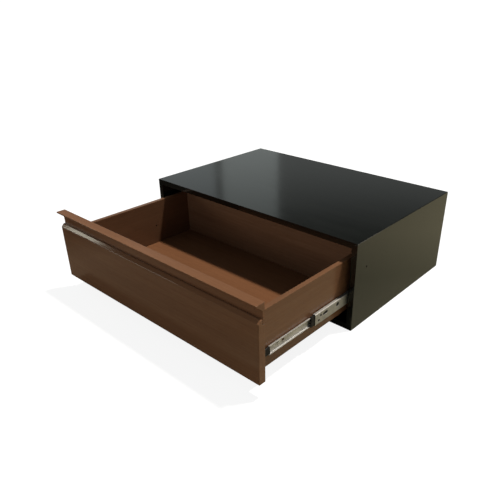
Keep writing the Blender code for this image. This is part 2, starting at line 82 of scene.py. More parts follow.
# Slides. WEB, REACH and START are distances from the case's inner wall, and LIP is a height from the middle.
STEEL = 1.2 * MM  # thickness of the sheet
STEEL_EDGE = 0.15 * MM
BEND = 1.5 * MM
CABINET_WEB = 0.3 * MM
CABINET_LIP = 14.7 * MM
INTERMEDIATE_WEB = 2.9 * MM
INTERMEDIATE_REACH = 11.3 * MM
INTERMEDIATE_LIP = 11.4 * MM
DRAWER_MEMBER_WEB = 11.2 * MM
DRAWER_MEMBER_REACH = 5.8 * MM
CAGE_STRIP = 0.5 * MM
LEVER_BOSS = 4 * MM  # from the lever's rear end to its pin
LEVER_PIN_START = 6.4 * MM
LEVER_PIN_RADIUS = 1.6 * MM
LEVER_PIN_LENGTH = 5 * MM
BALL_RADIUS = 1 * MM
BALLS_PER_ROW = 11

# Holes in the slide members: place from the front end, height from the middle, radius and length of slot
CABINET_FRONT_SLOT = 256 * MM  # ahead of the rear screw
CABINET_SLOTS = (110 * MM, 180 * MM, 230 * MM)
INTERMEDIATE_HOLES = (
    (13 * MM, -5 * MM, 3.2 * MM, 0),
    (20 * MM, 5 * MM, 3.2 * MM, 0),
    (37 * MM, 4 * MM, 4.2 * MM, 9 * MM),
    (84 * MM, 4 * MM, 5.5 * MM, 0),
    (200 * MM, 0, 4 * MM, 6 * MM),
    (310 * MM, 0, 4 * MM, 0),
)
DRAWER_MEMBER_HOLES = (
    (48.5 * MM, 1 * MM, 3.6 * MM, 0),
    (171 * MM, 0, 2.2 * MM, 5 * MM),
    (276 * MM, 0, 2.2 * MM, 5 * MM),
)

# Areas from which a face counts as large, so that shading leaves it truly flat
BOARD_FACE = 40 * MM * MM
CAGE_FACE = 20 * MM * MM
BLOCK_FACE = 60 * MM * MM
NO_FLAT_FACE = 400 * MM * MM  # more than any face of a screw, pin or ball


# ------------------------------------------------------------------ mesh work


def prism(outline, start, end, place):
    """A bmesh of an outline of (a, b) points run from start to end, where place(a, b, s) gives the point."""
    shape = bmesh.new()
    rings = [[shape.verts.new(place(a, b, s)) for a, b in outline] for s in (start, end)]
    shape.faces.new(rings[0])
    shape.faces.new(rings[1])
    for i, vertex in enumerate(rings[0]):
        j = (i + 1) % len(outline)
        shape.faces.new((vertex, rings[0][j], rings[1][j], rings[1][i]))
    bmesh.ops.recalc_face_normals(shape, faces=shape.faces)
    return shape


def box(low, high):
    """A bmesh of a box between two corners."""
    corners = ((low[0], low[1]), (high[0], low[1]), (high[0], high[1]), (low[0], high[1]))
    return prism(corners, low[2], high[2], lambda a, b, s: (a, b, s))


def turned(profile, start, axis, segments=24):
    """A bmesh of a profile of (radius, distance) points turned round an axis that starts at a point."""
    turn = Vector((0, 0, 1)).rotation_difference(Vector(axis)).to_matrix()
    shape = bmesh.new()
    rings = []
    for radius, distance in profile:
        if radius == 0:
            rings.append([shape.verts.new(Vector(start) + turn @ Vector((0, 0, distance)))])
            continue
        ring = []
        for i in range(segments):
            angle = 2 * math.pi * i / segments
            offset = Vector((radius * math.cos(angle), radius * math.sin(angle), distance))
            ring.append(shape.verts.new(Vector(start) + turn @ offset))
        rings.append(ring)
    for near, far in zip(rings, rings[1:]):
        for i in range(segments):
            j = (i + 1) % segments
            corners = [near[i % len(near)], near[j % len(near)], far[j % len(far)], far[i % len(far)]]
            shape.faces.new(list(dict.fromkeys(corners)))
    bmesh.ops.recalc_face_normals(shape, faces=shape.faces)
    return shape


def arc(centre, radius, first, last, steps):
    """Points of a round stretch, from one angle to another in degrees."""
    points = []
    for i in range(steps + 1):
        angle = math.radians(first + (last - first) * i / steps)
        points.append((centre[0] + radius * math.cos(angle), centre[1] + radius * math.sin(angle)))
    return points


def filleted(points, radius, steps=5):
    """An open line of points with its corners rounded."""
    points = [Vector(point) for point in points]
    line = [points[0]]
    for before, corner, after in zip(points, points[1:], points[2:]):
        back = (before - corner).normalized()
        ahead = (after - corner).normalized()
        half_angle = back.angle(ahead) / 2
        centre = corner + (back + ahead).normalized() * radius / math.sin(half_angle)
        first = corner + back * radius / math.tan(half_angle)
        last = corner + ahead * radius / math.tan(half_angle)
        for i in range(steps + 1):
            spoke = (first - centre).normalized().slerp((last - centre).normalized(), i / steps)
            line.append(centre + spoke * radius)
    line.append(points[-1])
    return line


def strip_outline(line, thickness):
    """The closed outline of a strip of sheet metal whose middle follows a line."""
    offsets = []
    for i, point in enumerate(line):
        before = line[max(i - 1, 0)]
        after = line[min(i + 1, len(line) - 1)]
        into = (point - before).normalized() if i else (after - point).normalized()
        out = (after - point).normalized() if i < len(line) - 1 else into
        normal = Vector((-(into + out).y, (into + out).x)).normalized()
        stretch = 1 / max(math.sqrt((1 + into.dot(out)) / 2), 0.5)
        offsets.append(normal * stretch * thickness / 2)
    left = [point + offset for point, offset in zip(line, offsets)]
    right = [point - offset for point, offset in zip(line, offsets)]
    return left + right[::-1]


def is_outer_edge(edge):
    """Whether the edge stands out from the shape, at more than a shallow angle."""
    return len(edge.link_faces) == 2 and edge.calc_face_angle_signed(0) > math.radians(30)


def at_an_end(*ends):
    """A test for edges that lie wholly in a plane across Y at one of the ends."""

    def test(edge):
        return all(min(abs(vertex.co.y - y) for y in ends) < SAME_PLACE for vertex in edge.verts)

    return test


def round_edges(shape, radius, segments=3, keep=None):
    """Rounds the shape's outward edges, or those of them that keep(edge) picks."""
    edges = [edge for edge in shape.edges if is_outer_edge(edge) and (keep is None or keep(edge))]
    bmesh.ops.bevel(
        shape, geom=edges, offset=radius, segments=segments, profile=0.5, affect="EDGES", clamp_overlap=True
    )
    return shape


def add_piece(name, shape, material, body, nodes=()):
    """Makes a piece from a bmesh, riding on a body and standing for CAD nodes."""
    mesh = bpy.data.meshes.new(name)
    shape.to_mesh(mesh)
    shape.free()
    piece = bpy.data.objects.new(name, mesh)
    bpy.context.scene.collection.objects.link(piece)
    mesh.materials.append(material)
    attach(piece, body)
    if nodes:
        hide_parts(*nodes)
    return piece


def cut(piece, *cutters):
    """Cuts closed shapes from a piece and keeps the result as its mesh."""
    helpers = []
    for shape in cutters:
        mesh = bpy.data.meshes.new("cutter")
        shape.to_mesh(mesh)
        shape.free()
        helper = bpy.data.objects.new("cutter", mesh)
        bpy.context.scene.collection.objects.link(helper)
        modifier = piece.modifiers.new("cut", "BOOLEAN")
        modifier.solver = "EXACT"
        modifier.object = helper
        helpers.append(helper)
    bpy.context.view_layer.update()
    evaluated = piece.evaluated_get(bpy.context.evaluated_depsgraph_get())
    cut_mesh = bpy.data.meshes.new_from_object(evaluated)
    piece.modifiers.clear()
    piece.data = cut_mesh
    for helper in helpers:
        bpy.data.objects.remove(helper)


def shade(piece, flat_area=BOARD_FACE):
    """Smooth shading on the rounded edges, with each large face left truly flat."""
    mesh = piece.data
    shape = bmesh.new()
    shape.from_mesh(mesh)
    for face in shape.faces:
        face.smooth = True
    for edge in shape.edges:
        angle = edge.calc_face_angle(0)
        by_flat = any(face.calc_area() > flat_area for face in edge.link_faces)
        edge.smooth = angle < math.radians(35) and not (by_flat and angle > math.radians(2))
    shape.to_mesh(mesh)
    shape.free()


# ------------------------------------------------------------------ materials


class NodeTree:
    """A short way to write a material's nodes."""

    def __init__(self, name):
        self.material = bpy.data.materials.new(name)
        self.material.use_nodes = True
        self.tree = self.material.node_tree
        self.shader = self.tree.nodes["Principled BSDF"]

    def add(self, kind, values=(), **settings):
        """Adds a node. Values maps its inputs to a number, a colour, or another node's output."""
        node = self.tree.nodes.new(kind)
        for key, setting in settings.items():
            setattr(node, key, setting)
        self.set(node, dict(values))
        return node

    def set(self, node, values):
        for key, value in values.items():
            if isinstance(value, bpy.types.NodeSocket):
                self.tree.links.new(value, node.inputs[key])
            else:
                node.inputs[key].default_value = value

    def place(self, scale, shift=(0, 0, 0)):
        """The object's own coordinates, scaled."""
        coordinates = self.add("ShaderNodeTexCoord").outputs["Object"]
        mapping = self.add("ShaderNodeMapping", {"Vector": coordinates, "Location": shift, "Scale": scale})
        return mapping.outputs["Vector"]

    def noise(self, vector, scale=1.0, detail=4.0, roughness=0.55, distortion=0.0):
        values = {
            "Vector": vector,
            "Scale": scale,
            "Detail": detail,
            "Roughness": roughness,
            "Distortion": distortion,
        }
        return self.add("ShaderNodeTexNoise", values).outputs["Fac"]

    def ramp(self, factor, stops):
        """A colour ramp with (position, colour) stops."""
        node = self.add("ShaderNodeValToRGB", {"Fac": factor})
        elements = node.color_ramp.elements
        while len(elements) < len(stops):
            elements.new(1.0)
        for element, (position, colour) in zip(elements, stops):
            element.position = position
            element.color = (*colour, 1.0)
        return node.outputs["Color"]

    def between(self, factor, low, high, from_low=0.3, from_high=0.7):
        """A factor remapped to a range."""
        values = {
            "Value": factor,
            "From Min": from_low,
            "From Max": from_high,
            "To Min": low,
            "To Max": high,
        }
        return self.add("ShaderNodeMapRange", values).outputs["Result"]

    def mix(self, factor, first, second, blend="MIX"):
        node = self.add("ShaderNodeMix", data_type="RGBA", blend_type=blend)
        for socket, value in zip((node.inputs[0], node.inputs[6], node.inputs[7]), (factor, first, second)):
            if isinstance(value, bpy.types.NodeSocket):
                self.tree.links.new(value, socket)
            elif isinstance(value, tuple):
                socket.default_value = (*value, 1.0)
            else:
                socket.default_value = value
        return node.outputs[2]

    def bump(self, height, strength, distance, normal=None):
        values = {"Height": height, "Strength": strength, "Distance": distance}
        if normal:
            values["Normal"] = normal
        return self.add("ShaderNodeBump", values).outputs["Normal"]


WALNUT_TONES = ((0.145, 0.070, 0.036), (0.162, 0.079, 0.041), (0.181, 0.090, 0.047))


def walnut(name, along, shift, painted_light_tint=(1, 1, 1), sheen=(0.16, 0.22)):
    """Walnut laminate with its grain along one axis. Lighter, darker or bluer copies of it paint light and
    shade on some boards.
    """
    nodes = NodeTree(name)

    def stretched(lengthwise, across):
        return tuple(lengthwise if axis == along else across for axis in range(3))

    figure = nodes.noise(nodes.place(stretched(1.6, 22), shift), detail=5, roughness=0.6, distortion=0.4)
    streaks = nodes.noise(nodes.place(stretched(7, 190), shift), detail=3, roughness=0.6)
    pores = nodes.noise(nodes.place(stretched(45, 1500), shift), detail=2, roughness=0.5)
    tones = [tuple(channel * share for channel, share in zip(tone, painted_light_tint)) for tone in WALNUT_TONES]
    colour = nodes.ramp(figure, tuple(zip((0.30, 0.50, 0.70), tones)))
    colour = nodes.mix(nodes.between(streaks, 0.0, 0.30), colour, (0.105, 0.044, 0.020))
    colour = nodes.mix(nodes.between(pores, 0.0, 0.30, 0.56, 0.72), colour, (0.06, 0.025, 0.012))
    normal = nodes.bump(pores, 0.08, 0.1 * MM)
    normal = nodes.bump(streaks, 0.03, 0.2 * MM, normal)
    nodes.set(
        nodes.shader,
        {
            "Base Color": colour,
            "Roughness": nodes.between(streaks, *sheen),
            "Specular IOR Level": 0.25,
            "Normal": normal,
        },
    )
    return nodes.material


def black_finish():
    """Semi-gloss black foil: a faint orange peel, wipe marks and a slightly uneven sheen."""
    nodes = NodeTree("black_foil")
    peel = nodes.noise(nodes.place((260, 260, 260)), detail=2)
    wipes = nodes.noise(nodes.place((5, 22, 9)), detail=4, roughness=0.6, distortion=0.6)
    dust = nodes.noise(nodes.place((700, 700, 700)), detail=1)
    colour = nodes.ramp(wipes, ((0.3, (0.0025, 0.0030, 0.0025)), (0.7, (0.0045, 0.0050, 0.0042))))
    colour = nodes.mix(nodes.between(dust, 0.0, 0.25, 0.70, 0.80), colour, (0.05, 0.05, 0.045))
    nodes.set(
        nodes.shader,
        {
            "Base Color": colour,
            "Roughness": nodes.between(wipes, 0.10, 0.15),
            "Specular IOR Level": 0.5,
            "Normal": nodes.bump(peel, 0.05, 0.12 * MM),
        },
    )
    return nodes.material


def back_board_finish():
    """Dark hardboard, matt, with a pressed-fibre mottle."""
    nodes = NodeTree("dark_hardboard")
    fibres = nodes.noise(nodes.place((160, 160, 160)), detail=5, roughness=0.7)
    clouds = nodes.noise(nodes.place((14, 14, 14)), detail=3)
    colour = nodes.ramp(clouds, ((0.3, (0.016, 0.014, 0.012)), (0.7, (0.026, 0.022, 0.018))))
    colour = nodes.mix(nodes.between(fibres, 0.0, 0.5, 0.5, 0.7), colour, (0.045, 0.036, 0.028))
    nodes.set(
        nodes.shader,
        {
            "Base Color": colour,
            "Roughness": nodes.between(fibres, 0.55, 0.75),
            "Normal": nodes.bump(fibres, 0.25, 0.15 * MM),
        },
    )
    return nodes.material


def beech_finish():
    """Raw beech, with its grain along Y and short dark flecks."""
    nodes = NodeTree("beech_wood")
    grain = nodes.noise(nodes.place((900, 40, 900)), detail=3)
    flecks = nodes.noise(nodes.place((2500, 300, 2500)), detail=1)
    colour = nodes.ramp(grain, ((0.3, (0.42, 0.25, 0.13)), (0.7, (0.60, 0.40, 0.23))))
    colour = nodes.mix(nodes.between(flecks, 0.0, 0.6, 0.6, 0.75), colour, (0.30, 0.16, 0.08))
    normal = nodes.bump(grain, 0.2, 0.1 * MM)
    nodes.set(nodes.shader, {"Base Color": colour, "Roughness": 0.6, "Normal": normal})
    return nodes.material


def steel_finish(name, colour, roughness, rolled=True):
    """Zinc-plated steel: rolling lines along the slide, pale spangle and small dull stains."""
    nodes = NodeTree(name)
    lines = nodes.noise(nodes.place((900, 14, 900) if rolled else (900, 900, 900)), detail=3)
    stains = nodes.noise(nodes.place((60, 60, 60)), detail=4, roughness=0.65)
    cells = nodes.add("ShaderNodeTexVoronoi", {"Vector": nodes.place((420, 420, 420))}).outputs["Color"]
    dull = tuple(channel * 0.72 for channel in colour)
    shade_colour = nodes.mix(nodes.between(stains, 0.0, 0.8), colour, dull)
    shade_colour = nodes.mix(0.08, shade_colour, cells, "SOFT_LIGHT")
    nodes.set(
        nodes.shader,
        {
            "Base Color": shade_colour,
            "Metallic": 1.0,
            "Roughness": nodes.between(stains, roughness, roughness + 0.14),
            "Normal": nodes.bump(lines, 0.08, 0.05 * MM),
        },
    )
    return nodes.material


def moulded_finish(name, colour, roughness, texture_scale, strength, specular=0.5):
    """Moulded plastic or rubber with a fine spark texture."""
    nodes = NodeTree(name)
    spark = nodes.noise(nodes.place((texture_scale,) * 3), detail=3)
    scuffs = nodes.noise(nodes.place((90, 90, 90)), detail=3)
    light = tuple(channel * 1.8 for channel in colour)
    nodes.set(
        nodes.shader,
        {
            "Base Color": nodes.mix(nodes.between(scuffs, 0.0, 1.0), colour, light),
            "Roughness": nodes.between(spark, roughness - 0.06, roughness + 0.08),
            "Specular IOR Level": specular,
            "Normal": nodes.bump(spark, strength, 0.08 * MM),
        },
    )
    return nodes.material


BLACK = black_finish()
HARDBOARD = back_board_finish()
BEECH = beech_finish()
ZINC = steel_finish("zinc_plated_steel", (0.46, 0.442, 0.408), 0.48)
# painted light: a lighter copy of the same zinc plating, for the drawer members
PAINTED_LIGHT_ZINC = steel_finish("zinc_plated_steel_painted_light", (0.54, 0.522, 0.486), 0.48)
CAGE_STEEL = steel_finish("cage_steel", (0.045, 0.045, 0.043), 0.40)
SCREW_STEEL = steel_finish("screw_steel_finish", (0.70, 0.68, 0.62), 0.25, rolled=False)
BALL_STEEL = steel_finish("ball_steel", (0.78, 0.78, 0.77), 0.10, rolled=False)
PLASTIC = moulded_finish("moulded_plastic", (0.004, 0.0035, 0.003), 0.5, 1500, 0.12, specular=0.2)
RUBBER = moulded_finish("moulded_rubber", (0.010, 0.010, 0.010), 0.78, 900, 0.25)
# Copies of one walnut laminate. The rail's, left side's and drawer back's copies are painted light and
# shade; the bottom's copy is redder and less blue.
WALNUT = {
    "front": walnut("walnut_front", ALONG_X, (0.0, 0.0, 0.0), sheen=(0.07, 0.10)),
    # painted light: a lighter, warmer copy for the light on the rail's lip and groove
    "rail": walnut("walnut_rail", ALONG_X, (3.1, 1.7, 0.4), painted_light_tint=(1.06, 1.01, 0.98)),
    "right": walnut("walnut_right_side", ALONG_Y, (5.3, 0.6, 2.2)),
    # painted shade: a darker copy for the shade on the left side
    "left": walnut("walnut_left_side", ALONG_Y, (8.9, 4.1, 1.3), painted_light_tint=(0.87, 0.87, 0.87)),
    # painted light: a lighter, bluer copy for cool light in the drawer back's shade
    "back": walnut("walnut_drawer_back", ALONG_X, (1.2, 7.7, 5.5), painted_light_tint=(1.15, 1.32, 1.50)),
    "bottom": walnut("walnut_bottom", ALONG_X, (6.4, 2.9, 9.1), painted_light_tint=(0.95, 0.84, 0.75)),
}


# ------------------------------------------------------------------- fasteners


def cross_recess(head, axis, radius, depth):
    """A cross with tapered wings, sunk into a screw head."""
    turn = Vector((0, 0, 1)).rotation_difference(Vector(axis)).to_matrix()
    wing = radius * 0.58
    thickness = radius * 0.13
    shapes = []
    for angle in (0, math.pi / 2):
        across = Matrix.Rotation(angle, 3, "Z")
        profile = ((-wing, -depth * 0.2), (wing, -depth * 0.2), (wing * 0.35, depth), (-wing * 0.35, depth))

        def place(a, b, s, across=across):
            return Vector(head) + turn @ (across @ Vector((a, s, b)))

        shapes.append(prism(profile, -thickness, thickness, place))
    return shapes


def shank_profile(radius, start, end, pitch=1.1 * MM, depth=0.28 * MM):
    """The saw-tooth outline of a screw's thread, down to its point."""
    turns = int((end - start - 2.5 * radius) / pitch)
    points = [(radius - depth, start)]
    for number in range(turns):
        at = start + number * pitch
        points.append((radius - depth, at + 0.55 * pitch))
        points.append((radius, at + 0.80 * pitch))
        points.append((radius - depth, at + 1.0 * pitch))
    points += [(radius * 0.45, end - radius * 1.2), (0, end)]
    return points


def screw(node, body, axis, head_style):
    """A cross-head screw where the CAD screw is, with its head on the side that the axis leaves."""
    low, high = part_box(node)
    along = Vector(axis)
    middle = (low + high) / 2
    length = abs((high - low).dot(along))
    start = middle - along * length / 2
    cross_size = sorted(abs(side) for side in high - low)[0]
    radius = cross_size / 2
    if head_style == "countersunk":
        head_end = 1.8 * MM
        head_profile = [
            (0, 0),
            (radius * 0.93, 0),
            (radius, 0.12 * MM),
            (radius, 0.3 * MM),
            (radius * 0.5, head_end),
        ]
    else:
        head_end = 1.2 * MM if head_style == "pan" else 1.0 * MM
        head_profile = [
            (0, 0),
            (radius * 0.55, 0.04 * MM),
            (radius * 0.85, 0.22 * MM),
            (radius, 0.6 * MM),
            (radius, head_end),
            (radius * 0.5, head_end),
        ]
    profile = head_profile + shank_profile(radius * 0.5, head_end, length)
    shape = turned(profile, start, along)
    piece = add_piece(f"{node}_cross_head", shape, SCREW_STEEL, body, (node,))
    cut(piece, *cross_recess(start, along, radius, head_end * 0.75))
    shade(piece, flat_area=NO_FLAT_FACE)
    return start, radius


def countersink(start, axis, radius, depth=2.1 * MM, length=0.0):
    """The seat and hole of a countersunk screw, as a cutter."""
    rim = radius + 0.35 * MM
    shank = radius * 0.5 + 0.3 * MM
    profile = [(0, -1 * MM), (rim, -1 * MM), (rim, 0), (shank, depth)]
    profile += [(shank, max(length, depth + 0.5 * MM)), (0, max(length, depth + 0.5 * MM))]
    return turned(profile, start, axis)


# ------------------------------------------------------------------------ case


def case_boards():
    """Four mitred boards whose outer corners meet in one small round, with a rebate for the back."""
    low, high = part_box("case_top")
    half_width = high.x
    height = high.z
    board = height - low.z
    front, rear = low.y, high.y
    back_low, back_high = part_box("case_back")
    grow = Vector((CAD_GAP, CAD_GAP, CAD_GAP))
    places = {
        "top": (half_width, 0, lambda s, n, y: (s, y, height - n)),
        "bottom": (half_width, 0, lambda s, n, y: (s, y, n)),
        "right_side": (height / 2, MITRE_SHIFT, lambda s, n, y: (half_width - n, y, height / 2 + s)),
        "left_side": (height / 2, MITRE_SHIFT, lambda s, n, y: (n - half_width, y, height / 2 + s)),
    }
    for part, (half, shift, place) in places.items():
        end = half - shift
        corner = arc((end - CORNER_ROUND, -CORNER_ROUND), CORNER_ROUND, 45, 90, 4)
        outline = [(s, -n) for s, n in corner]
        outline += [(-s, n) for s, n in reversed(outline)]
        outline += [(-(end - board), board), (end - board, board)]
        shape = prism(outline, front, rear, place)
        round_edges(shape, EDGE_ROUND, keep=at_an_end(front, rear))
        node = f"case_{part}"
        piece = add_piece(f"{node}_board", shape, BLACK, "case", (node,))
        cutters = [box(back_low - grow, back_high + grow + Vector((0, EDGE_ROUND, 0)))]
        if part == "right_side":
            cutters.append(blind_hole((half_width, *CASE_HOLE), (-1, 0, 0)))
        cut(piece, *cutters)
        shade(piece)


def blind_hole(place, axis, radius=2.5 * MM, depth=6 * MM):
    """A small drilled hole that stops inside the board, as a cutter."""
    profile = ((0, -1 * MM), (radius, -1 * MM), (radius, depth), (0, depth + radius / 2))
    return turned(profile, place, axis)


def case_back():
    """The back panel in its rebates, with a countersunk seat for each screw."""
    low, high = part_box("case_back")
    panel = round_edges(box(low, high), 0.4 * MM, segments=2)
    piece = add_piece("case_back_panel", panel, HARDBOARD, "case", ("case_back",))
    seats = []
    for level in ("top", "bottom"):
        for number in (1, 2, 3):
            start, radius = screw(f"case_back_screw_{level}_{number}", "case", (0, -1, 0), "countersunk")
            seats.append(countersink(start, (0, -1, 0), radius, length=high.y - low.y + PAST))
    cut(piece, *seats)
    shade(piece)


# ---------------------------------------------------------------------- drawer


def drawer_front():
    """The lower panel, with a chamfered top edge and a rebate behind it for the handle rail."""
    low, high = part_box("drawer_front")
    rail_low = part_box("handle_rail")[0]
    web = RAIL_WEB + CAD_GAP
    lap_bottom = rail_low.z - CAD_GAP
    outline = (
        (low.y, low.z),
        (high.y, low.z),
        (high.y, lap_bottom),
        (high.y - web, lap_bottom),
        (high.y - web, high.z),
        (low.y + FRONT_CHAMFER, high.z),
        (low.y, high.z - FRONT_CHAMFER),
    )
    shape = prism(outline, low.x, high.x, lambda y, z, x: (x, y, z))
    round_edges(shape, FRONT_ROUND)
    nodes = ("drawer_front",)
    piece = add_piece("drawer_front_panel", shape, WALNUT["front"], "drawer", nodes)
    grow = Vector((CAD_GAP, CAD_GAP, CAD_GAP))
    bottom_low, bottom_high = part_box("drawer_bottom")
    cut(piece, box(bottom_low - grow, bottom_high + grow))
    shade(piece)


def handle_rail():
    """A wedge lip over a smooth finger groove, on a web that laps behind the front."""
    low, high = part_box("handle_rail")
    web_front = high.y - RAIL_WEB
    root = (web_front - GROOVE_RADIUS, high.z - GROOVE_CENTRE)
    outline = [
        (high.y, low.z),
        (high.y, high.z),
        (low.y, high.z),
        (low.y, high.z - LIP_EDGE),
        *arc(root, GROOVE_RADIUS, 55, 0, 14),
        (web_front, low.z),
    ]
    shape = prism(outline, low.x, high.x, lambda y, z, x: (x, y, z))
    round_edges(shape, EDGE_ROUND)
    nodes = ("handle_rail",)
    piece = add_piece("handle_rail_moulding", shape, WALNUT["rail"], "drawer", nodes)
    seats = []
    for number in (1, 2, 3):
        start, head_radius = screw(f"rail_screw_{number}", "drawer", (0, -1, 0), "countersunk")
        seats.append(countersink(start, (0, -1, 0), head_radius, length=RAIL_WEB + PAST))
    cut(piece, *seats)
    shade(piece)


def drawer_sides():
    """Both sides, each with a groove for the bottom and two countersunk seats for the back's screws."""
    bottom_low, bottom_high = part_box("drawer_bottom")
    groove_low = bottom_low.z - CAD_GAP
    groove_high = bottom_high.z + CAD_GAP
    for side, sign in SIDES:
        node = f"drawer_{side}_side"
        low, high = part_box(node)
        outer = max(abs(low.x), abs(high.x))
        inner = min(abs(low.x), abs(high.x))
        groove_back = bottom_high.x + CAD_GAP
        outline = (
            (outer, low.z),
            (outer, high.z),
            (inner, high.z),
            (inner, groove_high),
            (groove_back, groove_high),
            (groove_back, groove_low),
            (inner, groove_low),
            (inner, low.z),
        )
        shape = prism(outline, low.y, high.y, lambda x, z, y, sign=sign: (sign * x, y, z))
        round_edges(shape, EDGE_ROUND)
        piece = add_piece(f"{node}_board", shape, WALNUT[side], "drawer", (node,))
        seats = []
        for level in ("lower", "upper"):
            axis = (-sign, 0, 0)
            start, radius = screw(f"drawer_back_screw_{side}_{level}", "drawer", axis, "countersunk")
            seats.append(countersink(start, axis, radius, length=outer - inner + PAST))
        if side == "left":
            seats.append(blind_hole((-inner, *DRAWER_HOLE), (-1, 0, 0)))
        cut(piece, *seats)
        shade(piece)


def drawer_panels():
    """The drawer's back and bottom."""
    for node, name, grain in (
        ("drawer_back", "drawer_back_board", "back"),
        ("drawer_bottom", "drawer_bottom_panel", "bottom"),
    ):
        low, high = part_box(node)
        shape = round_edges(box(low, high), 0.5 * MM)
        shade(add_piece(name, shape, WALNUT[grain], "drawer", (node,)))


# ---------------------------------------------------------------------- slides

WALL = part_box("case_right_side")[1].x - (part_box("case_top")[1].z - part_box("case_top")[0].z)


def channel_line(web, reach, half, lip=None, bend=BEND):
    """The middle line of a rolled C channel round the slide's middle height."""
    upper = [(reach, half), (web, half)]
    if lip is not None:
        upper.insert(0, (reach, lip))
    return filleted(upper + [(d, -h) for d, h in reversed(upper)], bend)


def placed(side, height):
    """Where a point goes, from its distance off the wall, its height off the slide's middle, and Y."""
    sign = 1 if side == "right" else -1
    return lambda d, h, y: (sign * (WALL - d), y, height + h)


def web_hole(side, web, y, z, radius, length=0.0):
    """A cutter for a round hole through a web, or for a slot with round ends."""
    sign = 1 if side == "right" else -1
    outline = arc((y + length / 2, z), radius, -90, 90, 10) + arc((y - length / 2, z), radius, 90, 270, 10)
    if length == 0:
        outline = arc((y, z), radius, 0, 345, 23)
    return prism(outline, web - STEEL, web + STEEL, lambda a, b, d: (sign * (WALL - d), a, b))


def steel_member(name, side, body, line, holes, finish=ZINC):
    """A rolled channel with its ends eased and its holes punched."""
    node = f"{name}_{side}"
    low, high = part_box(node)
    middle = (low.z + high.z) / 2
    shape = prism(strip_outline(line, STEEL), low.y, high.y, placed(side, middle))
    round_edges(shape, STEEL_EDGE, segments=1, keep=at_an_end(low.y, high.y))
    piece = add_piece(f"{node}_rolled", shape, finish, body, (node,))
    cut(piece, *[web_hole(side, *hole) for hole in holes])
    shade(piece)


def cabinet_member(side):
    """The outer channel, screwed to the case's wall."""
    node = f"cabinet_member_{side}"
    low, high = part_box(node)
    reach = WALL - min(abs(low.x), abs(high.x))
    half = (high.z - low.z) / 2
    middle = (low.z + high.z) / 2
    web = CABINET_WEB + STEEL / 2
    line = channel_line(web, reach - STEEL / 2, half - STEEL / 2, CABINET_LIP)
    axis = (1 if side == "right" else -1, 0, 0)
    holes = []
    for number in (1, 2):
        start, radius = screw(f"cabinet_screw_{side}_{number}", "case", axis, "flush")
        holes.append((web, start.y, middle, radius + CAD_GAP))
    holes.append((web, start.y - CABINET_FRONT_SLOT, middle, 2.2 * MM, 8 * MM))
    for place in CABINET_SLOTS:
        holes.append((web, low.y + place, middle, 2.2 * MM, 6 * MM))
    steel_member("cabinet_member", side, "case", line, holes)


def intermediate_member(side):
    """The middle channel, nested in the cabinet member."""
    node = f"intermediate_member_{side}"
    low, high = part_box(node)
    middle = (low.z + high.z) / 2
    half = (high.z - low.z) / 2
    web = INTERMEDIATE_WEB + STEEL / 2
    line = channel_line(web, INTERMEDIATE_REACH - STEEL / 2, half - STEEL / 2, INTERMEDIATE_LIP)
    holes = []
    for place, height, *size in INTERMEDIATE_HOLES:
        holes.append((web, low.y + place, middle + height, *size))
    steel_member("intermediate_member", side, f"intermediate_{side}", line, holes)


def drawer_member(side):
    """The inner channel, screwed to the drawer's side, and the pin that its release lever turns on."""
    node = f"drawer_member_{side}"
    low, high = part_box(node)
    middle = (low.z + high.z) / 2
    web = DRAWER_MEMBER_WEB + STEEL / 2
    half = (high.z - low.z) / 2
    line = channel_line(web, DRAWER_MEMBER_REACH + STEEL / 2, half - STEEL / 2, bend=3.2 * MM)
    axis = (-1 if side == "right" else 1, 0, 0)
    holes = []
    for number in (1, 2):
        start, radius = screw(f"drawer_member_screw_{side}_{number}", "drawer", axis, "pan")
        holes.append((web, start.y, middle, radius * 0.5 + CAD_GAP))
    for place, height, *size in DRAWER_MEMBER_HOLES:
        holes.append((web, low.y + place, middle + height, *size))
    # painted light: the drawer member takes the lighter copy of the zinc
    steel_member("drawer_member", side, "drawer", line, holes, finish=PAINTED_LIGHT_ZINC)
    lever_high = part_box(f"release_lever_{side}")[1]
    pivot_y = lever_high.y - LEVER_BOSS
    pin_profile = (
        (0, 0),
        (1.3 * MM, 0),
        (LEVER_PIN_RADIUS, 0.3 * MM),
        (LEVER_PIN_RADIUS, LEVER_PIN_LENGTH),
        (0, LEVER_PIN_LENGTH),
    )
    sign = -axis[0]
    pin_start = (sign * (WALL - LEVER_PIN_START), pivot_y, middle)
    pin_shape = turned(pin_profile, pin_start, axis)
    pin = add_piece(f"lever_pin_{side}", pin_shape, SCREW_STEEL, "drawer", ())
    shade(pin, flat_area=NO_FLAT_FACE)


def ball_cage(name, side, body, web, reach, half):
    """A thin cage with round windows in both flanges, and a ball in each window."""
    node = f"{name}_{side}"
    low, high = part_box(node)
    middle = (low.z + high.z) / 2
    line = filleted(((reach, half), (web, half), (web, -half), (reach, -half)), 0.8 * MM, steps=3)
    shape = prism(strip_outline(line, CAGE_STRIP), low.y, high.y, placed(side, middle))
    cage = add_piece(f"{node}_strip", shape, CAGE_STEEL, body, (node,))
    sign = 1 if side == "right" else -1
    balls = bmesh.new()
    windows = []
    ball_depth = (web + reach) / 2 + 1 * MM
    for number in range(BALLS_PER_ROW):
        y = low.y + (high.y - low.y) * (number + 0.5) / BALLS_PER_ROW
        x = sign * (WALL - ball_depth)
        for row in (1, -1):
            place = Vector((x, y, middle + row * half))
            bmesh.ops.create_uvsphere(
                balls, u_segments=12, v_segments=8, radius=BALL_RADIUS, matrix=Matrix.Translation(place)
            )
        radius = BALL_RADIUS * 0.9
        window = ((0, -2 * half), (radius, -2 * half), (radius, 2 * half), (0, 2 * half))
        windows.append(turned(window, (x, y, middle), (0, 0, 1), segments=12))
    cut(cage, *windows)
    shade(cage, flat_area=CAGE_FACE)
    row_piece = add_piece(f"{node}_balls", balls, BALL_STEEL, body, ())
    shade(row_piece, flat_area=NO_FLAT_FACE)


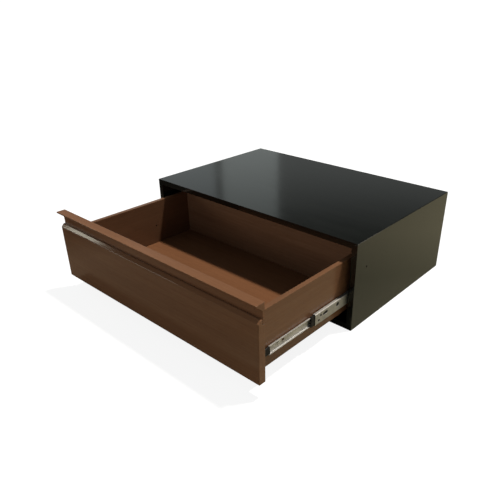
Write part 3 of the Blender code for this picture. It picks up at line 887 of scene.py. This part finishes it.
def softened_copy(node, name, material, body, radius):
    """A CAD node's own shape with its faces joined up and its edges rounded."""
    shape = bmesh.new()
    shape.from_mesh(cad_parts[node].data)
    bmesh.ops.remove_doubles(shape, verts=shape.verts, dist=SAME_PLACE)
    bmesh.ops.dissolve_limit(shape, angle_limit=math.radians(1), verts=shape.verts, edges=shape.edges)
    round_edges(shape, radius, segments=3)
    piece = add_piece(name, shape, material, body, (node,))
    shade(piece, flat_area=BLOCK_FACE)


def slides():
    """Both ball-bearing slides, with their cages, stops, bumpers and release levers."""
    for side, _ in SIDES:
        cabinet_member(side)
        intermediate_member(side)
        drawer_member(side)
        ball_cage("outer_ball_cage", side, f"outer_balls_{side}", 2.2 * MM, 8.7 * MM, 15.4 * MM)
        ball_cage("inner_ball_cage", side, f"inner_balls_{side}", 4.9 * MM, 9.6 * MM, 12.05 * MM)
        moulded = (
            ("end_stop", "clip", PLASTIC, f"intermediate_{side}", "black_plastic", 0.3 * MM),
            ("front_bumper", "block", PLASTIC, "drawer", "black_plastic", 2.2 * MM),
            ("rear_bumper", "pad", RUBBER, "case", "rubber", 0.6 * MM),
            ("release_lever", "arm", PLASTIC, f"lever_{side}", "black_plastic", 0.4 * MM),
        )
        for name, form, material, body, slot, radius in moulded:
            node = f"{name}_{side}"
            softened_copy(node, f"{node}_{form}", material, body, radius)


def dress_hidden_wood():
    """Splines and dowels stay as the CAD has them and get a wood finish."""
    for name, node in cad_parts.items():
        if name.startswith(("mitre_spline", "front_dowel")):
            node.data.materials.clear()
            node.data.materials.append(BEECH)


# ----------------------------------------------------------- camera and lights


def make_camera():
    """The camera at the photograph's angle."""
    camera = bpy.data.objects.new("camera", bpy.data.cameras.new("camera"))
    bpy.context.scene.collection.objects.link(camera)
    azimuth = math.radians(CAMERA_AZIMUTH)
    elevation = math.radians(CAMERA_ELEVATION)
    roll = math.radians(CAMERA_ROLL)
    back = Vector(
        (
            math.sin(azimuth) * math.cos(elevation),
            -math.cos(azimuth) * math.cos(elevation),
            math.sin(elevation),
        )
    )
    level_right = Vector((math.cos(azimuth), math.sin(azimuth), 0))
    level_up = back.cross(level_right)
    right = level_right * math.cos(roll) + level_up * math.sin(roll)
    up = back.cross(right)
    turn = Matrix((right, up, back)).transposed()
    camera.matrix_world = Matrix.Translation(CAMERA_PLACE) @ turn.to_4x4()
    camera.data.lens = CAMERA_LENS
    camera.data.sensor_width = 36
    camera.data.shift_x, camera.data.shift_y = CAMERA_SHIFT
    camera.data.dof.use_dof = False
    camera.data.clip_start = 0.01
    bpy.context.scene.camera = camera


def area_light(name, direction, distance, size, power, colour):
    """A rectangular soft light that looks at the drawer from a direction."""
    data = bpy.data.lights.new(name, "AREA")
    data.shape = "RECTANGLE"
    data.size, data.size_y = size
    data.energy = power
    data.color = colour
    light = bpy.data.objects.new(name, data)
    bpy.context.scene.collection.objects.link(light)
    target = Vector((0, -0.2, 0.12))
    back = Vector(direction).normalized()
    light.location = target + back * distance
    light.rotation_mode = "QUATERNION"
    light.rotation_quaternion = back.to_track_quat("Z", "Y")
    light.visible_camera = False
    return light


def window(name, first_azimuth, last_azimuth, low, high, distance, brightness, colour):
    """An upright light between two compass directions, in degrees from +X, and two heights."""
    ends = []
    for azimuth in (first_azimuth, last_azimuth):
        angle = math.radians(azimuth)
        ends.append(Vector((math.cos(angle), math.sin(angle), 0)) * distance)
    width = (ends[1] - ends[0]).length
    middle = (ends[0] + ends[1]) / 2
    back = middle.normalized()
    power = brightness * math.pi * width * (high - low)
    light = area_light(name, back, 1, (width, high - low), power, colour)
    light.location = middle + Vector((0, 0, (low + high) / 2))


def make_lights():
    """A warm key light, two soft fills, and four upright lights that the glossy case reflects as windows."""
    data = bpy.data.lights.new("key", "SUN")
    data.energy = 3.9
    data.angle = math.radians(4)
    data.color = (1.0, 0.96, 0.90)
    key = bpy.data.objects.new("key", data)
    bpy.context.scene.collection.objects.link(key)
    key.rotation_mode = "QUATERNION"
    key.rotation_quaternion = Vector((0.17, 0.275, 0.945)).to_track_quat("Z", "Y")
    area_light("side_fill", (0.82, 0.46, 0.14), 1.4, (0.8, 0.5), 2.7, (1.0, 0.96, 0.90))
    area_light("front_fill", (0.10, -0.93, 0.33), 2.8, (1.4, 0.8), 8.0, (0.97, 0.98, 0.97))
    window("left_window", 210.4, 213.8, 1.0, 1.9, 3.2, 6.6, (1.0, 0.98, 0.82))
    window("left_low_window", 212, 234, 0.25, 0.95, 3.2, 4.0, (1.0, 0.98, 0.92))
    window("rear_window", 131.4, 139.9, 0.2, 2.3, 4.0, 0.33, (0.90, 1.0, 0.98))
    window("rear_window_far", 141, 155, 0.2, 2.3, 4.0, 0.24, (0.86, 0.97, 1.0))


def make_world():
    """Plain white to the camera. Reflections see dim walls under a soft ceiling."""
    world = bpy.data.worlds.new("studio")
    bpy.context.scene.world = world
    world.use_nodes = True
    tree = world.node_tree
    direction = tree.nodes.new("ShaderNodeTexCoord").outputs["Generated"]
    split = tree.nodes.new("ShaderNodeSeparateXYZ")
    tree.links.new(direction, split.inputs[0])
    fade = tree.nodes.new("ShaderNodeValToRGB")
    tones = (
        (0.30, (0.235, 0.250, 0.245)),
        (0.42, (0.023, 0.025, 0.024)),
        (0.62, (0.023, 0.025, 0.024)),
        (0.80, (0.270, 0.310, 0.330)),
    )
    elements = fade.color_ramp.elements
    while len(elements) < len(tones):
        elements.new(1.0)
    for element, (height, colour) in zip(elements, tones):
        element.position = height
        element.color = (*colour, 1.0)
    tree.links.new(split.outputs["Z"], fade.inputs["Fac"])
    background = tree.nodes["Background"]
    tree.links.new(fade.outputs["Color"], background.inputs["Color"])
    white = tree.nodes.new("ShaderNodeBackground")
    white.inputs["Color"].default_value = (1, 1, 1, 1)
    seen = tree.nodes.new("ShaderNodeLightPath").outputs["Is Camera Ray"]
    mix = tree.nodes.new("ShaderNodeMixShader")
    tree.links.new(seen, mix.inputs[0])
    tree.links.new(background.outputs[0], mix.inputs[1])
    tree.links.new(white.outputs[0], mix.inputs[2])
    tree.links.new(mix.outputs[0], tree.nodes["World Output"].inputs["Surface"])


def make_floor():
    """A pale studio floor to the camera, and to every other ray a dim, warm floor with painted shadow and
    painted light in bands across it.
    """
    mesh = bpy.data.meshes.new("studio_floor")
    signs = ((-1, -1), (1, -1), (1, 1), (-1, 1))
    corners = [(a * FLOOR_REACH, b * FLOOR_REACH, -FLOOR_GAP) for a, b in signs]
    mesh.from_pydata(corners, [], [(0, 1, 2, 3)])
    floor = bpy.data.objects.new("studio_floor", mesh)
    bpy.context.scene.collection.objects.link(floor)
    nodes = NodeTree("pale_floor")
    pale = nodes.add("ShaderNodeBsdfDiffuse", {"Color": (0.17, 0.17, 0.17, 1)})
    glow = nodes.add("ShaderNodeEmission", {"Color": (1, 1, 1, 1), "Strength": 0.88})
    seen_floor = nodes.add("ShaderNodeAddShader", {0: pale.outputs[0], 1: glow.outputs[0]})
    split = nodes.add("ShaderNodeSeparateXYZ", {0: nodes.place((1, 1, 1))})
    sideways = nodes.add("ShaderNodeMath", {0: split.outputs["X"], 1: 0.8}, operation="MULTIPLY")
    across = nodes.add(
        "ShaderNodeMath", {0: split.outputs["Y"], 1: 0.6, 2: sideways.outputs[0]}, operation="MULTIPLY_ADD"
    )
    # Painted shadow and painted light on the floor: its darker bands stand in for shade on the floor, its
    # lighter olive bands for light bounced off it.
    tone = nodes.ramp(
        nodes.between(across.outputs[0], 0.0, 1.0, -1.14, 0.66),
        (
            (0.10, (0.03, 0.025, 0.02)),
            (0.20, (0.20, 0.155, 0.11)),
            (0.47, (0.11, 0.085, 0.06)),
            (0.67, (0.30, 0.28, 0.20)),
            (0.85, (0.245, 0.23, 0.155)),
            (1.00, (0.35, 0.32, 0.215)),
        ),
    )
    warm = nodes.add("ShaderNodeBsdfDiffuse", {"Color": tone})
    seen = nodes.add("ShaderNodeLightPath").outputs["Is Camera Ray"]
    mix = nodes.add("ShaderNodeMixShader", {0: seen, 1: warm.outputs[0], 2: seen_floor.outputs[0]})
    nodes.set(nodes.tree.nodes["Material Output"], {"Surface": mix.outputs[0]})
    mesh.materials.append(nodes.material)


bpy.context.scene.view_settings.view_transform = "Standard"
make_camera()
make_world()
make_floor()
make_lights()
case_boards()
case_back()
drawer_front()
handle_rail()
drawer_sides()
drawer_panels()
slides()
dress_hidden_wood()
